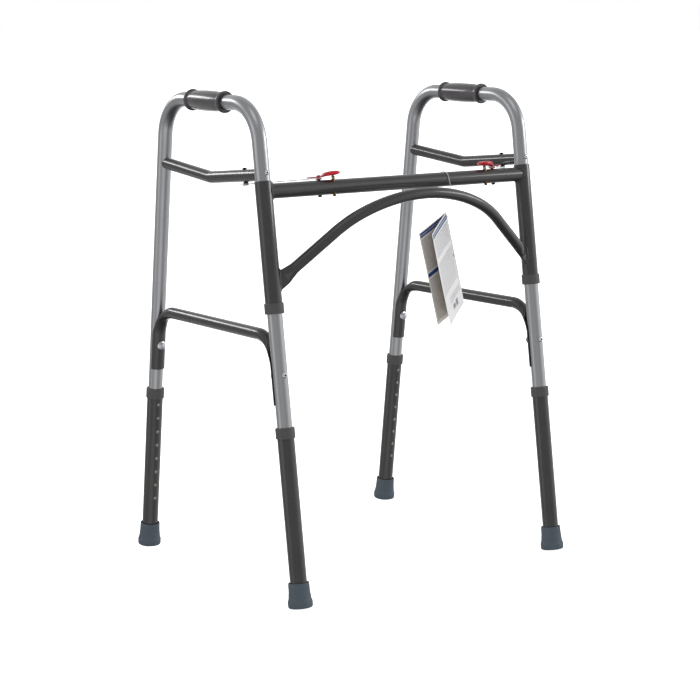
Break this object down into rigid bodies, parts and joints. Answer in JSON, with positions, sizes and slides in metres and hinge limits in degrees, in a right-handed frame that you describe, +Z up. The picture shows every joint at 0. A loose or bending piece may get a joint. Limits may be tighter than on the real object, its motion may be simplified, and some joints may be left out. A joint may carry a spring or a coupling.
{
  "type": "folding walker",
  "caption": "Folding walking frame: two bent tube sides with hand grips hinge in behind a front crossbar with release levers; four telescoping legs on rubber tips.",
  "frame": {"origin": "centre of the footprint, on the floor", "axes": "+Z up; -Y is the front, where the crossbar is; +X is the walker's left as its user stands in it facing -Y"},
  "size_m": [0.6118, 0.5196, 0.836],
  "materials": {
    "anodised": "satin anodised",
    "paint": "glossy dark metallic grey paint",
    "collar": "satin grey moulding",
    "rubber": "matt blue-grey rubber",
    "grip": "glossy dark grey moulding",
    "red": "glossy red moulding",
    "zinc": "bright zinc plate",
    "black": "blackened steel",
    "brass": "bright brass",
    "card": "coated card with plain blue bands",
    "thread": "thin thread"
  },
  "bodies": {
    "front_frame": {"front_crossbar": "paint", "front_arch_brace": "paint", "left_front_sleeve": "paint", "right_front_sleeve": "paint", "left_sleeve_collar": "collar", "right_sleeve_collar": "collar", "left_slider_bolt_end": "black", "right_slider_bolt_end": "black", "hang_tag": "card", "tag_cord": "thread"},
    "left_side": {"left_side_tube": "anodised", "left_upper_brace": "paint", "left_lower_brace": "paint", "left_hand_grip": "grip", "left_front_brace_screw": "zinc", "left_rear_brace_screw": "zinc", "left_front_brace_bolt": "zinc", "left_rear_brace_bolt": "zinc", "left_retaining_rivet": "zinc", "left_strap_pivot_bolt": "black", "left_strap_spacer": "black"},
    "left_strap": {"left_folding_strap": "zinc", "left_slider_bolt": "black"},
    "left_lever": {"left_release_lever": "red", "left_lever_striker": "brass"},
    "left_pin": {"left_lock_pin": "brass"},
    "left_front_leg": {"left_front_lower_leg": "paint", "left_front_leg_collar": "collar", "left_front_rubber_tip": "rubber"},
    "left_front_button": {"left_front_snap_button": "brass"},
    "left_rear_leg": {"left_rear_lower_leg": "paint", "left_rear_leg_collar": "collar", "left_rear_rubber_tip": "rubber"},
    "left_rear_button": {"left_rear_snap_button": "brass"},
    "right_side": {"right_side_tube": "anodised", "right_upper_brace": "paint", "right_lower_brace": "paint", "right_hand_grip": "grip", "right_front_brace_screw": "zinc", "right_rear_brace_screw": "zinc", "right_front_brace_bolt": "zinc", "right_rear_brace_bolt": "zinc", "right_retaining_rivet": "zinc", "right_strap_pivot_bolt": "black", "right_strap_spacer": "black"},
    "right_strap": {"right_folding_strap": "zinc", "right_slider_bolt": "black"},
    "right_lever": {"right_release_lever": "red", "right_lever_striker": "brass"},
    "right_pin": {"right_lock_pin": "brass"},
    "right_front_leg": {"right_front_lower_leg": "paint", "right_front_leg_collar": "collar", "right_front_rubber_tip": "rubber"},
    "right_front_button": {"right_front_snap_button": "brass"},
    "right_rear_leg": {"right_rear_lower_leg": "paint", "right_rear_leg_collar": "collar", "right_rear_rubber_tip": "rubber"},
    "right_rear_button": {"right_rear_snap_button": "brass"}
  },
  "joints": [
    {"name": "left_fold", "type": "hinge", "parent": "front_frame", "child": "left_side", "pos_m": [-0.285, -0.1539, 0.59379], "axis": [0, -0.1435, -0.9897], "range_deg": [0, 82]},
    {"name": "left_strap_turn", "type": "hinge", "parent": "left_side", "child": "left_strap", "pos_m": [-0.2842, -0.09041, 0.68331], "axis": [0, 0.1435, 0.9897], "range_deg": [0, 102]},
    {"name": "left_lever_press", "type": "hinge", "parent": "left_strap", "child": "left_lever", "pos_m": [-0.1708, -0.13719, 0.69514], "axis": [0.2924, 0.9464, -0.1372], "range_deg": [0, 3.05], "stiffness_Nm_per_rad": 0.005, "springref_deg": -7.79},
    {"name": "left_pin_drop", "type": "slide", "parent": "front_frame", "child": "left_pin", "axis": [0, -0.1435, -0.9897], "range_m": [0, 0.00134], "stiffness_N_per_m": 1500},
    {"name": "left_front_leg_slide", "type": "slide", "parent": "left_side", "child": "left_front_leg", "axis": [0, -0.1435, -0.9897], "range_m": [-0.0254, 0.1524]},
    {"name": "left_front_button_press", "type": "slide", "parent": "left_side", "child": "left_front_button", "axis": [-0.0161, -0.9895, 0.1435], "range_m": [0, 0.003], "stiffness_N_per_m": 1500},
    {"name": "left_rear_leg_slide", "type": "slide", "parent": "left_side", "child": "left_rear_leg", "axis": [0.004, 0.1055, -0.9944], "range_m": [-0.0254, 0.1524]},
    {"name": "left_rear_button_press", "type": "slide", "parent": "left_side", "child": "left_rear_button", "axis": [0.0156, 0.9943, 0.1056], "range_m": [0, 0.003], "stiffness_N_per_m": 1500},
    {"name": "right_fold", "type": "hinge", "parent": "front_frame", "child": "right_side", "pos_m": [0.285, -0.1539, 0.59379], "axis": [0, 0.1435, 0.9897], "range_deg": [0, 66]},
    {"name": "right_strap_turn", "type": "hinge", "parent": "right_side", "child": "right_strap", "pos_m": [0.2842, -0.09041, 0.68331], "axis": [0, -0.1435, -0.9897], "range_deg": [0, 90]},
    {"name": "right_lever_press", "type": "hinge", "parent": "right_strap", "child": "right_lever", "pos_m": [0.2152, -0.13719, 0.69514], "axis": [0.2924, -0.9464, 0.1372], "range_deg": [0, 3.05], "stiffness_Nm_per_rad": 0.005, "springref_deg": -7.79},
    {"name": "right_pin_drop", "type": "slide", "parent": "front_frame", "child": "right_pin", "axis": [0, -0.1435, -0.9897], "range_m": [0, 0.00134], "stiffness_N_per_m": 1500},
    {"name": "right_front_leg_slide", "type": "slide", "parent": "right_side", "child": "right_front_leg", "axis": [0, -0.1435, -0.9897], "range_m": [-0.0254, 0.1524]},
    {"name": "right_front_button_press", "type": "slide", "parent": "right_side", "child": "right_front_button", "axis": [0.0161, -0.9895, 0.1435], "range_m": [0, 0.003], "stiffness_N_per_m": 1500},
    {"name": "right_rear_leg_slide", "type": "slide", "parent": "right_side", "child": "right_rear_leg", "axis": [-0.004, 0.1055, -0.9944], "range_m": [-0.0254, 0.1524]},
    {"name": "right_rear_button_press", "type": "slide", "parent": "right_side", "child": "right_rear_button", "axis": [-0.0156, 0.9943, 0.1056], "range_m": [0, 0.003], "stiffness_N_per_m": 1500}
  ],
  "couplings": [
    {"joint": "left_strap_turn", "follows": "left_fold", "ratio": 1.235},
    {"joint": "left_lever_press", "follows": "left_pin_drop", "rad_per_m": 39.06},
    {"joint": "right_strap_turn", "follows": "right_fold", "ratio": 1.3},
    {"joint": "right_lever_press", "follows": "right_pin_drop", "rad_per_m": 39.06}
  ]
}
